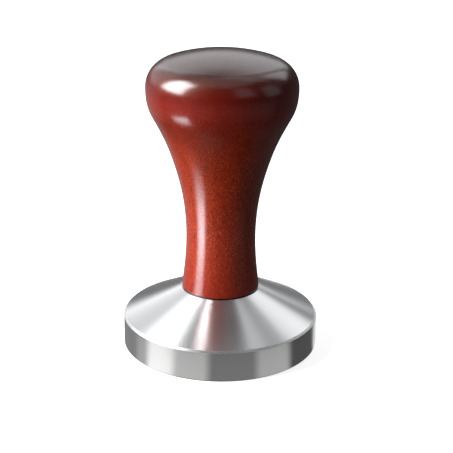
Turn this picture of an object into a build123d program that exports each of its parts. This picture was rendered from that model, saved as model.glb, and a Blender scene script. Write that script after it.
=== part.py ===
from build123d import *
import os
from math import ceil, floor, radians, sqrt, tan

# An espresso tamper: a heavy turned steel piston with a conical shoulder, and a turned hardwood
# handle that unscrews from it. All sizes are in millimetres. The origin is the centre of the flat
# tamping face, and +Z runs up the handle. Everything is round about the Z axis.
#
# The handle holds a brass threaded insert. A set screw is locked into the piston and stands up
# into the insert. A plastic washer on the insert's nose is clamped between wood and steel.

# --- steel piston ---------------------------------------------------------------------------
PISTON_RADIUS = 29.0          # a 58 mm filter basket's tamper
RIM_HEIGHT = 9.4              # straight rim, from the tamping face to the cone's edge
RIM_CHAMFER = 0.5             # polished chamfer between rim and cone
FACE_CHAMFER = 0.3            # broken edge round the tamping face
SEAT_RADIUS = 11.7            # flat seat at the cone's top
SEAT_HEIGHT = 17.75

# --- machine thread, M8 x 1.25 ----------------------------------------------------------------
PITCH = 1.25
THREAD_RADIUS = 4.0
SHARP_HEIGHT = PITCH * sqrt(3) / 2
STUD_ROOT_RADIUS = THREAD_RADIUS - SHARP_HEIGHT * 17 / 24
STUD_CREST_RADIUS = THREAD_RADIUS - 0.05
NUT_CREST_RADIUS = THREAD_RADIUS - SHARP_HEIGHT * 5 / 8
NUT_ROOT_RADIUS = THREAD_RADIUS + 0.1
FLANK_PLAY = 0.08             # axial play on each flank
ROOT_SINK = 0.1               # how far a ridge is sunk into the core it stands on

# --- set screw, hexagon socket up ---------------------------------------------------------------
STUD_LENGTH = 25.0
STUD_FOOT = 7.6               # the screw's lower end, above the tamping face
STUD_CHAMFER = 0.8
SOCKET_ACROSS_FLATS = 4.0
SOCKET_DEPTH = 5.0

# --- blind hole in the piston ---------------------------------------------------------------
DRILL_FLOOR = 5.6             # where the drilled wall ends
THREAD_FLOOR = 7.0            # the tap stops short of it
MOUTH_CHAMFER = 0.5
DRILL_POINT_ANGLE = 59.0      # half angle of a drill's point

# --- brass insert, with a coarse thread that bites into the wood -----------------------------
INSERT_GAP = 0.25             # from the seat to the insert's lower face
INSERT_LENGTH = 16.0
INSERT_RADIUS = 5.2
BITE_CREST_RADIUS = 6.3
BITE_PITCH = 2.6
BITE_TURNS = 4
BITE_START = 3.4              # first turn, above the insert's lower face
BITE_ROOT_WIDTH = 1.1
BITE_CREST_WIDTH = 0.25
SLOT_WIDTH = 1.4              # driving slot across the nose
SLOT_DEPTH = 1.6

# --- washer, held loosely on the insert's nose -----------------------------------------------
WASHER_THICKNESS = 1.0
WASHER_RADIUS = 9.0
WASHER_CLEARANCE = 0.08       # running clearance round the nose

# --- hardwood handle ------------------------------------------------------------------------
HANDLE_GAP = 0.15             # shadow line between wood and steel
FOOT_RADIUS = 11.5
FOOT_ROUNDING = 0.5
WAIST_RADIUS = 10.25
WAIST_HEIGHT = 33.0
FLARE = [(11.65, 48.0), (13.75, 56.0), (16.3, 63.0), (19.5, 69.5)]   # radius and height, to the head
HEAD_RADIUS = 22.0
HEAD_HEIGHT = 79.1            # where the head is widest
SHOULDER_RADIUS = 7.8
TOTAL_HEIGHT = 89.2
RECESS_RADIUS = 9.2           # washer recess in the underside
PILOT_RADIUS = 5.35           # bore for the insert's core
PILOT_SPARE = 1.5             # how far it runs on above the insert

HANDLE_FOOT = SEAT_HEIGHT + HANDLE_GAP
INSERT_FOOT = SEAT_HEIGHT + INSERT_GAP
INSERT_TOP = INSERT_FOOT + INSERT_LENGTH
STUD_TOP = STUD_FOOT + STUD_LENGTH
OVERRUN = 2.0                 # how far a tool runs past the end of its work
SEAM_ANGLE = 77.0             # round surfaces close here, away from where the threads start


def turned(outline):
    """A solid of revolution about Z from a closed outline of radius and height."""
    return Rot(0, 0, SEAM_ANGLE) * revolve(Plane.XZ * make_face(outline), Axis.Z)


def rod(radius, low, high):
    """A cylinder on the Z axis between two heights."""
    solid = Cylinder(radius, high - low, align=(Align.CENTER, Align.CENTER, Align.MIN))
    return Pos(0, 0, low) * Rot(0, 0, SEAM_ANGLE) * solid


def taper(low_radius, high_radius, low, high):
    """A cone frustum on the Z axis between two heights."""
    solid = Cone(low_radius, high_radius, high - low, align=(Align.CENTER, Align.CENTER, Align.MIN))
    return Pos(0, 0, low) * Rot(0, 0, SEAM_ANGLE) * solid


def drill_point_length(radius):
    """How far a drill's point reaches past the wall it cuts."""
    return radius / tan(radians(DRILL_POINT_ANGLE))


def helical_ridge(inner, outer, inner_width, outer_width, pitch, start, turns):
    """A right-hand ridge of trapezium section, as one-turn lengths laid end to end."""
    section = Polyline(
        (inner, start - inner_width / 2),
        (outer, start - outer_width / 2),
        (outer, start + outer_width / 2),
        (inner, start + inner_width / 2),
        close=True,
    )
    path = Pos(0, 0, start) * Helix(pitch, pitch, inner)
    one_turn = sweep(Plane.XZ * make_face(section), path, is_frenet=True)
    return [Pos(0, 0, turn * pitch) * one_turn for turn in range(turns)]


def ridge_width(radius):
    """The basic 60 degree profile's width at a radius: half a pitch at the pitch radius."""
    pitch_radius = THREAD_RADIUS - SHARP_HEIGHT * 3 / 8
    return PITCH / 2 - 2 * (radius - pitch_radius) * tan(radians(30))


def machine_thread(core, crest, play, low, high):
    """A threaded rod covering two heights. Its ridge passes angle 0 at whole pitches above Z = 0,
    so every thread made here is in phase with every other."""
    inner = core - ROOT_SINK
    first = floor(low / PITCH)
    turns = ceil(high / PITCH) - first
    inner_width = ridge_width(inner) - 2 * play
    outer_width = ridge_width(crest) - 2 * play
    ridge = helical_ridge(inner, crest, inner_width, outer_width, PITCH, first * PITCH, turns)
    return rod(core, low, high) + ridge


def make_base():
    """The piston: flat face, straight rim, cone, flat seat and a blind tapped hole."""
    blank = turned(
        Polyline(
            (0, 0),
            (PISTON_RADIUS - FACE_CHAMFER, 0),
            (PISTON_RADIUS, FACE_CHAMFER),
            (PISTON_RADIUS, RIM_HEIGHT - RIM_CHAMFER),
            (PISTON_RADIUS - RIM_CHAMFER, RIM_HEIGHT),
            (SEAT_RADIUS, SEAT_HEIGHT),
            (0, SEAT_HEIGHT),
            close=True,
        )
    )
    above = SEAT_HEIGHT + OVERRUN
    tap = machine_thread(NUT_CREST_RADIUS, NUT_ROOT_RADIUS, 0, THREAD_FLOOR + PITCH, above)
    drill = rod(NUT_CREST_RADIUS, DRILL_FLOOR, above)
    point = taper(0, NUT_CREST_RADIUS, DRILL_FLOOR - drill_point_length(NUT_CREST_RADIUS), DRILL_FLOOR)
    mouth = taper(
        NUT_ROOT_RADIUS - OVERRUN,
        NUT_ROOT_RADIUS + MOUTH_CHAMFER,
        SEAT_HEIGHT - MOUTH_CHAMFER - OVERRUN,
        SEAT_HEIGHT,
    )
    return blank - tap - drill - point - mouth


def make_stud():
    """The set screw: chamfered ends, a full helical thread and a hexagon socket in the top."""
    end_radius = STUD_CREST_RADIUS - STUD_CHAMFER
    blank = turned(
        Polyline(
            (0, STUD_FOOT),
            (end_radius, STUD_FOOT),
            (end_radius + OVERRUN, STUD_FOOT + OVERRUN),
            (end_radius + OVERRUN, STUD_TOP - OVERRUN),
            (end_radius, STUD_TOP),
            (0, STUD_TOP),
            close=True,
        )
    )
    thread = machine_thread(
        STUD_ROOT_RADIUS, STUD_CREST_RADIUS, FLANK_PLAY, STUD_FOOT - OVERRUN, STUD_TOP + OVERRUN
    )
    hexagon = RegularPolygon(SOCKET_ACROSS_FLATS / 2, 6, major_radius=False)
    socket = Pos(0, 0, STUD_TOP - SOCKET_DEPTH) * extrude(hexagon, SOCKET_DEPTH + OVERRUN)
    return thread & blank - socket


def make_insert():
    """The brass insert: tapped right through, slotted nose, coarse thread for the wood."""
    bite = helical_ridge(
        INSERT_RADIUS - ROOT_SINK,
        BITE_CREST_RADIUS,
        BITE_ROOT_WIDTH,
        BITE_CREST_WIDTH,
        BITE_PITCH,
        INSERT_FOOT + BITE_START,
        BITE_TURNS,
    )
    tap = machine_thread(
        NUT_CREST_RADIUS, NUT_ROOT_RADIUS, 0, INSERT_FOOT - OVERRUN, INSERT_TOP + OVERRUN
    )
    slot = Pos(0, 0, INSERT_FOOT) * Box(2 * BITE_CREST_RADIUS, SLOT_WIDTH, 2 * SLOT_DEPTH)
    return rod(INSERT_RADIUS, INSERT_FOOT, INSERT_TOP) + bite - tap - slot


def make_washer():
    """The clamped washer. It runs loosely on the insert's nose."""
    low, high = SEAT_HEIGHT, SEAT_HEIGHT + WASHER_THICKNESS
    hole = rod(INSERT_RADIUS + WASHER_CLEARANCE, low - OVERRUN, high + OVERRUN)
    return rod(WASHER_RADIUS, low, high) - hole


def handle_outline():
    """The handle's outline. A shoulder arc and a crown arc meet at a tangent above the head."""
    shoulder_centre = HEAD_RADIUS - SHOULDER_RADIUS
    rise = TOTAL_HEIGHT - HEAD_HEIGHT
    crown_radius = (shoulder_centre**2 + rise**2 - SHOULDER_RADIUS**2) / (2 * (rise - SHOULDER_RADIUS))
    crown_centre = TOTAL_HEIGHT - crown_radius
    reach = crown_radius / (crown_radius - SHOULDER_RADIUS)
    join = (shoulder_centre * reach, crown_centre + (HEAD_HEIGHT - crown_centre) * reach)
    foot_edge = HANDLE_FOOT + FOOT_ROUNDING
    side = Spline(
        (FOOT_RADIUS, foot_edge),
        (WAIST_RADIUS, WAIST_HEIGHT),
        *FLARE,
        (HEAD_RADIUS, HEAD_HEIGHT),
        tangents=[(-0.14, 1), (0, 1)],
    )
    bottom = Line((0, HANDLE_FOOT), (FOOT_RADIUS - FOOT_ROUNDING, HANDLE_FOOT))
    rounding = RadiusArc(bottom @ 1, side @ 0, -FOOT_ROUNDING)
    shoulder = RadiusArc(side @ 1, join, -SHOULDER_RADIUS)
    crown = RadiusArc(join, (0, TOTAL_HEIGHT), -crown_radius)
    axis = Line((0, TOTAL_HEIGHT), (0, HANDLE_FOOT))
    return [bottom, rounding, side, shoulder, crown, axis]


def make_handle():
    """The turned handle, bored from below for the washer and the insert."""
    recess = rod(RECESS_RADIUS, HANDLE_FOOT - OVERRUN, SEAT_HEIGHT + WASHER_THICKNESS)
    pilot_top = INSERT_TOP + PILOT_SPARE
    pilot = rod(PILOT_RADIUS, HANDLE_FOOT - OVERRUN, pilot_top)
    point = taper(PILOT_RADIUS, 0, pilot_top, pilot_top + drill_point_length(PILOT_RADIUS))
    return turned(handle_outline()) - recess - pilot - point


PARTS = {
    "base": make_base,
    "stud": make_stud,
    "threaded_insert": make_insert,
    "seat_washer": make_washer,
    "handle": make_handle,
}

os.makedirs("parts", exist_ok=True)
for name, make in PARTS.items():
    export_step(make(), f"parts/{name}.step")
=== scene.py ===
from math import cos, pi, radians, sin

import bpy
from mathutils import Matrix, Vector


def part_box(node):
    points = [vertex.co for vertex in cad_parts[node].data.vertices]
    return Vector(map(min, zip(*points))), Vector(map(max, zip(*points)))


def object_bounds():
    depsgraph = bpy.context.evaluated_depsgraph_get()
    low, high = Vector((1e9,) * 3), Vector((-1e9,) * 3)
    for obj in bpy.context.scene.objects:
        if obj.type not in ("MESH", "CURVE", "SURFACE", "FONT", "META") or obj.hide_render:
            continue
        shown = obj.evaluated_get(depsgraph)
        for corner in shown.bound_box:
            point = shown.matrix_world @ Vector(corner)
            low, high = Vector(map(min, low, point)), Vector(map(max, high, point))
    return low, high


# --- camera, in metres and degrees ---------------------------------------------------------
CAMERA_DISTANCE = 0.400       # from the point that it faces
CAMERA_ELEVATION = 19.67
AIM_HEIGHT = 0.045            # it faces the axis at this height, and then turns by
YAW, PITCH, ROLL = 0.232, 1.143, 0.559
LENS_MM = 108.3
SENSOR_MM = 36.0
CLIP_START, CLIP_END = 0.01, 20.0

# --- colours (linear) --------------------------------------------------------------------
WOOD_LIGHT = (0.33, 0.025, 0.006)
WOOD_DARK = (0.16, 0.008, 0.003)
# bright flecks: partly the wood's own pale flecks, partly painted glints of light
WOOD_GLINT = (0.68, 0.100, 0.020)
WOOD_FLECK = (0.060, 0.003, 0.002)
WOOD_SHEEN = (1.0, 0.30, 0.08)
# the wood is darker from the flare up into the head
HEAD_TONE = (0.155, 0.006, 0.003)
END_GRAIN = (0.022, 0.003, 0.002)
# the wood is darker and more crimson towards the foot
FOOT_TONE = (0.18, 0.008, 0.003)
STEEL = (0.68, 0.675, 0.67)
# painted highlight: the rim's chamfer is drawn whiter than its steel
PAINTED_EDGE_HIGHLIGHT = (1.0, 1.0, 1.0)
BLACK_STEEL = (0.10, 0.10, 0.11)
BRASS = (0.72, 0.50, 0.20)
NYLON = (0.03, 0.03, 0.032)
FLOOR = (0.5, 0.5, 0.5)
COOL_WHITE = (0.95, 0.975, 1.0)
STRIP_WHITE = (0.78, 0.92, 1.0)

# --- floor, in metres ----------------------------------------------------------------------
FLOOR_SIZE = 6.0
FLOOR_GAP = 0.00005           # so that the floor and the face on it aren't one plane
FLOOR_GLOW = 0.80             # radiance, which keeps the floor pale under soft light

# --- wood: sizes and heights in metres -----------------------------------------------------
SPECKLE = 0.00050             # size of its mottling
FIGURE = 0.008                # size of its slow changes of tone
WOOD_TURNING = 0.0006         # spacing of the turning marks round it
SPECKLE_SHARE, FIGURE_SHARE, TURNING_SHARE = 0.58, 0.30, 0.12      # of the tone
TONE_RANGE = (0.38, 0.62)     # tones that come out dark and light
GLINT = 0.00027               # size of its bright flecks: partly the wood's own, partly painted glints
GLINT_RANGE = (0.56, 0.73)    # noise values where a bright fleck starts and is full
FLECK = 0.0007                # size of its dark flecks
FLECK_RANGE = (0.65, 0.74)    # noise values where a dark fleck starts and is full
FLECK_WEIGHT = 0.6            # how far a dark fleck covers the stain
GRAIN_HEIGHT = 0.00014        # relief of the wood under the lacquer
PORE_DEPTH = 0.00002          # relief of the lacquer over a dark fleck
PORE_STRENGTH = 0.4

# --- wood: where its colour changes, as parts of the handle's height -------------------------
HEAD_RANGE = (0.62, 0.88)
END_GRAIN_RANGE = (0.84, 0.96)
FOOT_TOP = 0.20
FOOT_WEIGHT = 0.6             # how far the foot's darker colour covers the wood

# --- steel: sizes and heights in metres ----------------------------------------------------
RIM_EDGE = 0.0006             # the painted highlight is on the ring this near to the rim's top corner
AT_FULL_RADIUS = 0.999        # a point past this part of the rim's radius is on the rim
TURNING = 0.00011             # spacing of the turning marks
TURNING_HEIGHT = 0.000004
TURNING_STRENGTH = 0.5
STEEL_ROUGHNESS = 0.21        # of the rim's side
INSIDE_ROUGHER = 0.05         # added on the cone, the seat and the face
EDGE_ROUGHER = 0.36           # added on the chamfer
ANISOTROPY = 0.92

# --- screw, insert and washer: marks and grain in noise cells to a metre ---------------------
METAL_SPOTS = 700
METAL_MARKS = 8000
METAL_MARK_STRENGTH = 0.4
NYLON_GRAIN = 5000
NYLON_HEIGHT = 0.00001        # metres

# --- studio: azimuth, elevation, width, height, softness of the side edges and of the upper
# --- and lower edges, in degrees, and radiance ---------------------------------------------
STUDIO = {
    "room": (0, 0, 360, 180, 1, 1, 0.03),
    "key_softbox": (-85, 36.5, 40, 41, 14, 14, 20.0),
    "back_wall": (-178, 29, 50, 34, 8, 8, 1.2),
    "back_side": (-140, 26, 40, 44, 12, 12, 0.80),
    "back_left": (-143, 52, 34, 20, 12, 12, 0.45),
    "left_wall": (-122, 6, 44, 32, 8, 8, 0.18),
    "back_right": (138, 36, 26, 28, 8, 8, 1.7),
    "back_top": (142, 60, 70, 20, 8, 8, 0.55),
    "overhead": (180, 82, 360, 38, 1, 11, 0.54),
    "front_fill": (38, 38, 30, 34, 12, 12, 0.5),
    "side_fill": (84, 24, 26, 34, 12, 12, 0.5),
    "low_room": (0, -45, 360, 90, 1, 6, 0.02),
    "low_back": (-135, -20, 60, 26, 12, 16, 0.22),
    "low_left": (-73, -20, 40, 26, 8, 16, 0.20),
    "low_front": (-34, -20, 40, 26, 8, 16, 0.15),
    "low_middle": (16, -20, 62, 26, 8, 16, 0.06),
    "low_right": (66, -20, 38, 26, 8, 16, 0.08),
}

# --- soft-edged cards on the floor round the rim, seen only in the steel: where on the rim each
# one starts and ends to show, in degrees from the camera's side, and radiance --------------
RIM_CARDS = {
    "far_left": (-84, -58, 0.28),
    "left": (-58, -47, 0.46),
    "bright": (-47, -28, 1.20),
    "front_left": (-28, -7, 0.68),
    "front": (-7, 22, 0.25),
    "front_right": (22, 45, 0.56),
    "right": (45, 74, 0.10),
    "edge": (74, 86, 0.90),
}
CARD_REACH = 0.028            # how far they go out from the rim, in metres
CARD_SOFTNESS = 5             # degrees

# --- a small gridded strip light, low on the left, that draws the highlight down the neck -----
STRIP_AZIMUTH = -66
STRIP_DISTANCE = 0.103        # from the axis
STRIP_HEIGHT = -0.018
STRIP_SIZE = (0.054, 0.066)
STRIP_AIM = 0.030             # height on the axis that it faces
STRIP_SPREAD = 51             # degrees
STRIP_POWER = 0.0122          # watts

# --- a large soft fill light on the camera's left, for the wood's colour only --------------------
FILL_AZIMUTH = -50
FILL_DISTANCE = 0.45
FILL_HEIGHT = 0.13
FILL_SIZE = 0.25
FILL_AIM = 0.045
FILL_POWER = 1.50              # watts


# --- node graph helpers -------------------------------------------------------------------
class Graph:
    """A material's node tree, with short calls to add and join nodes."""

    def __init__(self, name):
        self.material = bpy.data.materials.new(name)
        self.material.use_nodes = True
        self.tree = self.material.node_tree
        self.shader = self.tree.nodes["Principled BSDF"]

    def node(self, kind, inputs=(), **settings):
        made = self.tree.nodes.new(kind)
        for key, value in settings.items():
            setattr(made, key, value)
        for key, value in dict(inputs).items():
            self.feed(made, key, value)
        return made

    def feed(self, node, key, value):
        """Joins a socket to an input, or sets the input to a value."""
        if isinstance(value, bpy.types.NodeSocket):
            self.tree.links.new(value, node.inputs[key])
        else:
            node.inputs[key].default_value = value

    def set(self, **inputs):
        """Sets the shader's inputs; an underscore in a name stands for a space."""
        for key, value in inputs.items():
            self.feed(self.shader, key.replace("_", " "), value)

    def math(self, operation, *values):
        return self.node("ShaderNodeMath", dict(enumerate(values)), operation=operation).outputs[0]

    def place(self, scale):
        """The object's own coordinates in metres, times a scale along each axis."""
        coordinates = self.node("ShaderNodeTexCoord").outputs["Object"]
        return self.node("ShaderNodeMapping", {"Vector": coordinates, "Scale": scale}).outputs[0]

    def noise(self, vector, scale, detail=4.0, roughness=0.5, distortion=0.0):
        inputs = {
            "Vector": vector,
            "Scale": scale,
            "Detail": detail,
            "Roughness": roughness,
            "Distortion": distortion,
        }
        return self.node("ShaderNodeTexNoise", inputs).outputs["Fac"]

    def ramp(self, value, low, high):
        """Maps low..high to 0..1, clamped."""
        inputs = {"Value": value, "From Min": low, "From Max": high}
        return self.node("ShaderNodeMapRange", inputs, clamp=True).outputs["Result"]

    def mix(self, factor, first, second):
        made = self.node("ShaderNodeMix", data_type="RGBA")
        self.feed(made, 0, factor)
        for slot, colour in ((6, first), (7, second)):
            self.feed(made, slot, (*colour, 1.0) if isinstance(colour, tuple) else colour)
        return made.outputs[2]

    def bump(self, height, distance, strength=1.0):
        inputs = {"Height": height, "Distance": distance, "Strength": strength}
        return self.node("ShaderNodeBump", inputs).outputs["Normal"]


def wood():
    """Hardwood under red stain and clear lacquer. The stain is darkest in the dome's end grain."""
    g = Graph("stained_wood")
    low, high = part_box("handle")
    height = g.node("ShaderNodeSeparateXYZ", {0: g.place((1, 1, 1))}).outputs[2]

    def level(part):
        return low.z + part * (high.z - low.z)

    head = g.ramp(height, *map(level, HEAD_RANGE))
    foot = g.ramp(height, level(FOOT_TOP), low.z)
    top = g.ramp(height, *map(level, END_GRAIN_RANGE))
    speckle = g.noise(g.place((1, 1, 0.7)), 1 / SPECKLE, 2, 0.55)
    figure = g.noise(g.place((1, 1, 0.25)), 1 / FIGURE, 3, 0.5, 0.6)
    grain = g.noise(g.place((1, 1, 0.8)), 1 / GLINT, 1, 0.5)
    glints = g.ramp(grain, *GLINT_RANGE)
    flecks = g.noise(g.place((1, 1, 0.5)), 1 / FLECK, 2, 0.5)
    rings = g.noise(g.place((0.03, 0.03, 1)), 1 / WOOD_TURNING, 2, 0.6)
    slow = g.math("MULTIPLY_ADD", figure, FIGURE_SHARE, g.math("MULTIPLY", rings, TURNING_SHARE))
    tone = g.math("MULTIPLY_ADD", speckle, SPECKLE_SHARE, slow)
    ground = g.mix(g.ramp(tone, *TONE_RANGE), WOOD_DARK, WOOD_LIGHT)
    # bright flecks, partly the wood's own and partly painted glints
    flecked = g.mix(glints, ground, WOOD_GLINT)
    side = g.mix(g.math("MULTIPLY", foot, FOOT_WEIGHT), flecked, FOOT_TONE)
    stained = g.mix(top, g.mix(head, side, HEAD_TONE), END_GRAIN)
    fleck_mask = g.ramp(flecks, *FLECK_RANGE)
    g.set(
        Base_Color=g.mix(g.math("MULTIPLY", fleck_mask, FLECK_WEIGHT), stained, WOOD_FLECK),
        Roughness=0.32,
        Specular_IOR_Level=0.2,
        Specular_Tint=(*WOOD_SHEEN, 1.0),
        Coat_Weight=1.0,
        Coat_Roughness=0.20,
        Coat_IOR=1.58,
        Normal=g.bump(grain, GRAIN_HEIGHT),
        Coat_Normal=g.bump(fleck_mask, -PORE_DEPTH, PORE_STRENGTH),
    )
    return g.material


def turned_steel():
    """Stainless steel with fine turning marks, so that highlights fan out from the axis.

    The chamfer round the rim's top corner is matt and painted white: a painted highlight, a pale
    line.
    Everything inside the rim is a little rougher than the rim itself."""
    g = Graph("turned_steel")
    x, y, z = g.node("ShaderNodeSeparateXYZ", {0: g.place((1, 1, 1))}).outputs
    radius = g.math("SQRT", g.math("ADD", g.math("MULTIPLY", x, x), g.math("MULTIPLY", y, y)))
    across = g.node("ShaderNodeCombineXYZ", {0: radius, 1: z}).outputs[0]
    marks = g.noise(across, 1 / TURNING, 3, 0.6)
    rim_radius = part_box("base")[1].x
    near_rim = g.math("GREATER_THAN", radius, rim_radius - RIM_EDGE)
    near_top = g.math("COMPARE", z, rim_top() - RIM_EDGE / 2, RIM_EDGE / 2)
    edge = g.math("MULTIPLY", near_rim, near_top)
    inside = g.math("LESS_THAN", radius, rim_radius - RIM_EDGE)
    polish = g.math("MULTIPLY_ADD", inside, INSIDE_ROUGHER, STEEL_ROUGHNESS)
    tangent = g.node("ShaderNodeTangent", direction_type="RADIAL", axis="Z").outputs[0]
    g.set(
        # the chamfer's white is a painted highlight; elsewhere this is the steel's own colour
        Base_Color=g.mix(edge, STEEL, PAINTED_EDGE_HIGHLIGHT),
        Metallic=1.0,
        Roughness=g.math("MULTIPLY_ADD", edge, EDGE_ROUGHER, polish),
        Anisotropic=ANISOTROPY,
        Anisotropic_Rotation=0.25,
        Tangent=tangent,
        Normal=g.bump(marks, TURNING_HEIGHT, TURNING_STRENGTH),
    )
    return g.material


def plain_metal(name, colour, roughness):
    """A machined metal for the screw and the insert, with faint marks round the axis."""
    g = Graph(name)
    spots = g.noise(g.place((1, 1, 1)), METAL_SPOTS, 3)
    marks = g.noise(g.place((0.1, 0.1, 1)), METAL_MARKS, 2)
    g.set(
        Base_Color=g.mix(spots, tuple(0.8 * c for c in colour), colour),
        Metallic=1.0,
        Roughness=g.math("MULTIPLY_ADD", spots, 0.1, roughness),
        Normal=g.bump(marks, TURNING_HEIGHT, METAL_MARK_STRENGTH),
    )
    return g.material


def nylon():
    """Black plastic with a fine moulded texture."""
    g = Graph("nylon")
    grain = g.noise(g.place((1, 1, 1)), NYLON_GRAIN, 2)
    g.set(
        Base_Color=g.mix(grain, tuple(0.7 * c for c in NYLON), NYLON),
        Roughness=0.55,
        Normal=g.bump(grain, NYLON_HEIGHT, 0.5),
    )
    return g.material


def rim_top():
    """The height where the rim's bright edge ends: RIM_EDGE above the rim's straight side."""
    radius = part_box("base")[1].x
    corners = [v.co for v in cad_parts["base"].data.vertices]
    straight = max(v.z for v in corners if v.xy.length > AT_FULL_RADIUS * radius)
    return straight + RIM_EDGE


def dress(node, material):
    """Puts one material on a CAD node."""
    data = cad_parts[node].data
    data.materials.clear()
    data.materials.append(material)


# --- studio -----------------------------------------------------------------------------
def on_sphere(azimuth, elevation, distance, target):
    """A point round the target. Azimuth 0 is the camera's side, and 90 is its right."""
    a, e = radians(azimuth), radians(elevation)
    return Vector(target) + distance * Vector((sin(a) * cos(e), -cos(a) * cos(e), sin(e)))


def make_camera():
    data = bpy.data.cameras.new("camera")
    data.sensor_width = SENSOR_MM
    data.lens = LENS_MM
    data.clip_start, data.clip_end = CLIP_START, CLIP_END
    camera = bpy.data.objects.new("camera", data)
    bpy.context.scene.collection.objects.link(camera)
    base = Matrix.Rotation(pi / 2 - radians(CAMERA_ELEVATION), 4, "X")
    turn = (
        Matrix.Rotation(-radians(YAW), 4, "Y")
        @ Matrix.Rotation(-radians(PITCH), 4, "X")
        @ Matrix.Rotation(radians(ROLL), 4, "Z")
    )
    place = on_sphere(0, CAMERA_ELEVATION, CAMERA_DISTANCE, (0, 0, AIM_HEIGHT))
    camera.matrix_world = Matrix.Translation(place) @ base @ turn
    bpy.context.scene.camera = camera


def make_floor():
    """A plain white floor. It catches soft shadows, and the object reflects the studio instead."""
    bpy.ops.mesh.primitive_plane_add(size=FLOOR_SIZE, location=(0, 0, cad_low.z - FLOOR_GAP))
    floor = bpy.context.object
    floor.name = "floor"
    g = Graph("floor")
    g.set(
        Base_Color=(*FLOOR, 1.0),
        Roughness=1.0,
        Specular_IOR_Level=0.0,
        Emission_Color=(1, 1, 1, 1),
        Emission_Strength=FLOOR_GLOW,
    )
    floor.data.materials.append(g.material)
    floor.visible_diffuse = False
    floor.visible_glossy = False
    floor.visible_shadow = False


class Sky(Graph):
    """The studio round the object, as a world shader."""

    def __init__(self):
        world = bpy.data.worlds.new("studio")
        world.use_nodes = True
        bpy.context.scene.world = world
        self.tree = world.node_tree
        self.shader = self.tree.nodes["Background"]
        direction = self.node("ShaderNodeTexCoord").outputs["Generated"]
        self.x, self.y, self.z = self.node("ShaderNodeSeparateXYZ", {0: direction}).outputs
        self.elevation = self.math("DEGREES", self.math("ARCSINE", self.z))
        self.light = 0.0

    def band(self, value, half_width, softness):
        """1 where the value is within half_width of 0, falling to 0 over the softness."""
        distance = self.math("ABSOLUTE", value)
        inputs = {
            "Value": distance,
            "From Min": half_width + softness / 2,
            "From Max": half_width - softness / 2,
        }
        made = self.node("ShaderNodeMapRange", inputs, interpolation_type="SMOOTHSTEP")
        return made.outputs["Result"]

    def panel(self, azimuth, elevation, width, height, side_softness, end_softness, radiance):
        """Adds a soft-edged white panel, in degrees. Azimuth 0 is the camera's side."""
        a = radians(azimuth)
        along = self.math("MULTIPLY_ADD", self.x, sin(a), self.math("MULTIPLY", self.y, -cos(a)))
        aside = self.math("MULTIPLY_ADD", self.x, cos(a), self.math("MULTIPLY", self.y, sin(a)))
        turn = self.math("DEGREES", self.math("ARCTAN2", aside, along))
        rise = self.math("SUBTRACT", self.elevation, elevation)
        inside = self.math(
            "MULTIPLY",
            self.band(turn, width / 2, side_softness),
            self.band(rise, height / 2, end_softness),
        )
        self.light = self.math("MULTIPLY_ADD", inside, radiance, self.light)

    def finish(self):
        """The camera itself sees plain white."""
        seen = self.node("ShaderNodeLightPath").outputs["Is Camera Ray"]
        strength = self.node("ShaderNodeMix", {0: seen, 2: self.light, 3: 1.0}).outputs[0]
        self.set(Color=self.mix(seen, COOL_WHITE, (1.0, 1.0, 1.0)), Strength=strength)


def make_studio():
    sky = Sky()
    for place in STUDIO.values():
        sky.panel(*place)
    sky.finish()


def receivers(node):
    """A collection of one CAD node, for a light that only that node shows."""
    group = bpy.data.collections.new("lit_" + node)
    group.objects.link(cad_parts[node])
    return group


def area_light(name, azimuth, distance, height, size, aim, power):
    """A rectangle of light for the handle alone, facing the axis at the height of its aim."""
    data = bpy.data.lights.new(name, "AREA")
    data.shape = "RECTANGLE"
    data.size, data.size_y = size
    data.energy = power
    light = bpy.data.objects.new(name, data)
    bpy.context.scene.collection.objects.link(light)
    light.location = on_sphere(azimuth, 0, distance, (0, 0, height))
    facing = Vector((0, 0, aim)) - light.location
    light.rotation_euler = facing.to_track_quat("-Z", "Y").to_euler()
    light.visible_camera = False
    light.light_linking.receiver_collection = receivers("handle")
    return light


def make_strip_light():
    """The strip shows only as gloss, and has a grid that keeps it off the head."""
    place = (STRIP_AZIMUTH, STRIP_DISTANCE, STRIP_HEIGHT, STRIP_SIZE, STRIP_AIM, STRIP_POWER)
    strip = area_light("strip", *place)
    strip.data.spread = radians(STRIP_SPREAD)
    strip.data.color = STRIP_WHITE
    strip.visible_diffuse = False


def make_fill_light():
    """The fill brings out the stain's colour, and doesn't show as gloss."""
    size = (FILL_SIZE, FILL_SIZE)
    place = (FILL_AZIMUTH, FILL_DISTANCE, FILL_HEIGHT, size, FILL_AIM, FILL_POWER)
    fill = area_light("fill", *place)
    fill.visible_glossy = False


def card_radiance(turn):
    """The cards' radiance at an angle round the rim. Neighbours blend over the softness."""
    total = 0.0
    for start, end, radiance in RIM_CARDS.values():
        rise = min(max((turn - start) / CARD_SOFTNESS + 0.5, 0.0), 1.0)
        fall = min(max((end - turn) / CARD_SOFTNESS + 0.5, 0.0), 1.0)
        total += radiance * rise * fall
    return total


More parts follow.
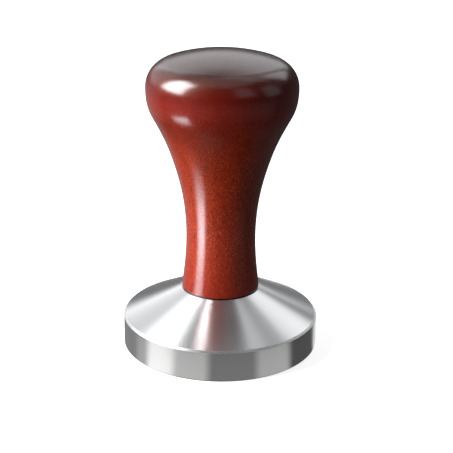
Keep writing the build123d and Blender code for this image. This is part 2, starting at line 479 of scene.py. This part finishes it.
def make_rim_cards():
    """The cards, as one ring. Each line across it runs the way that the rim mirrors the camera's
    view, so the steel shows a card as an upright band."""
    first = min(card[0] for card in RIM_CARDS.values()) - CARD_SOFTNESS
    last = max(card[1] for card in RIM_CARDS.values()) + CARD_SOFTNESS
    turns = range(first, last + 1)
    floor_centre = (0, 0, cad_low.z - FLOOR_GAP / 2)
    inner = [on_sphere(turn, 0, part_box("base")[1].x, floor_centre) for turn in turns]
    outer = [on_sphere(2 * turn, 0, CARD_REACH, point) for turn, point in zip(turns, inner)]
    across = len(turns)
    mesh = bpy.data.meshes.new("rim_cards")
    faces = [(i, i + 1, i + 1 + across, i + across) for i in range(across - 1)]
    mesh.from_pydata(inner + outer, [], faces)
    light = mesh.attributes.new("radiance", "FLOAT", "POINT")
    light.data.foreach_set("value", [card_radiance(turn) for turn in turns] * 2)
    cards = bpy.data.objects.new("rim_cards", mesh)
    bpy.context.scene.collection.objects.link(cards)
    g = Graph("rim_cards")
    radiance = g.node("ShaderNodeAttribute", attribute_name="radiance").outputs["Fac"]
    g.set(
        Base_Color=(0, 0, 0, 1),
        Specular_IOR_Level=0.0,
        Emission_Color=(1, 1, 1, 1),
        Emission_Strength=radiance,
    )
    mesh.materials.append(g.material)
    cards.visible_camera = False
    cards.visible_diffuse = False
    cards.visible_shadow = False
    cards.light_linking.receiver_collection = receivers("base")


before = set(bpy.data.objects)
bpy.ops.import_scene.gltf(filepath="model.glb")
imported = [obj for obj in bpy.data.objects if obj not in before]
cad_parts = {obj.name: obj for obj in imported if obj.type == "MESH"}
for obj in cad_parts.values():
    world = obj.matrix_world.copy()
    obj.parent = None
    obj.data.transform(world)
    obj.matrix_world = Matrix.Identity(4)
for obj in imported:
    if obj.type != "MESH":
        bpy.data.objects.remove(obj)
cad_low, cad_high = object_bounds()

dress("base", turned_steel())
dress("handle", wood())
dress("stud", plain_metal("black_steel", BLACK_STEEL, 0.32))
dress("threaded_insert", plain_metal("brass", BRASS, 0.27))
dress("seat_washer", nylon())

make_camera()
make_floor()
make_studio()
make_strip_light()
make_fill_light()
make_rim_cards()
bpy.context.scene.view_settings.view_transform = "Standard"
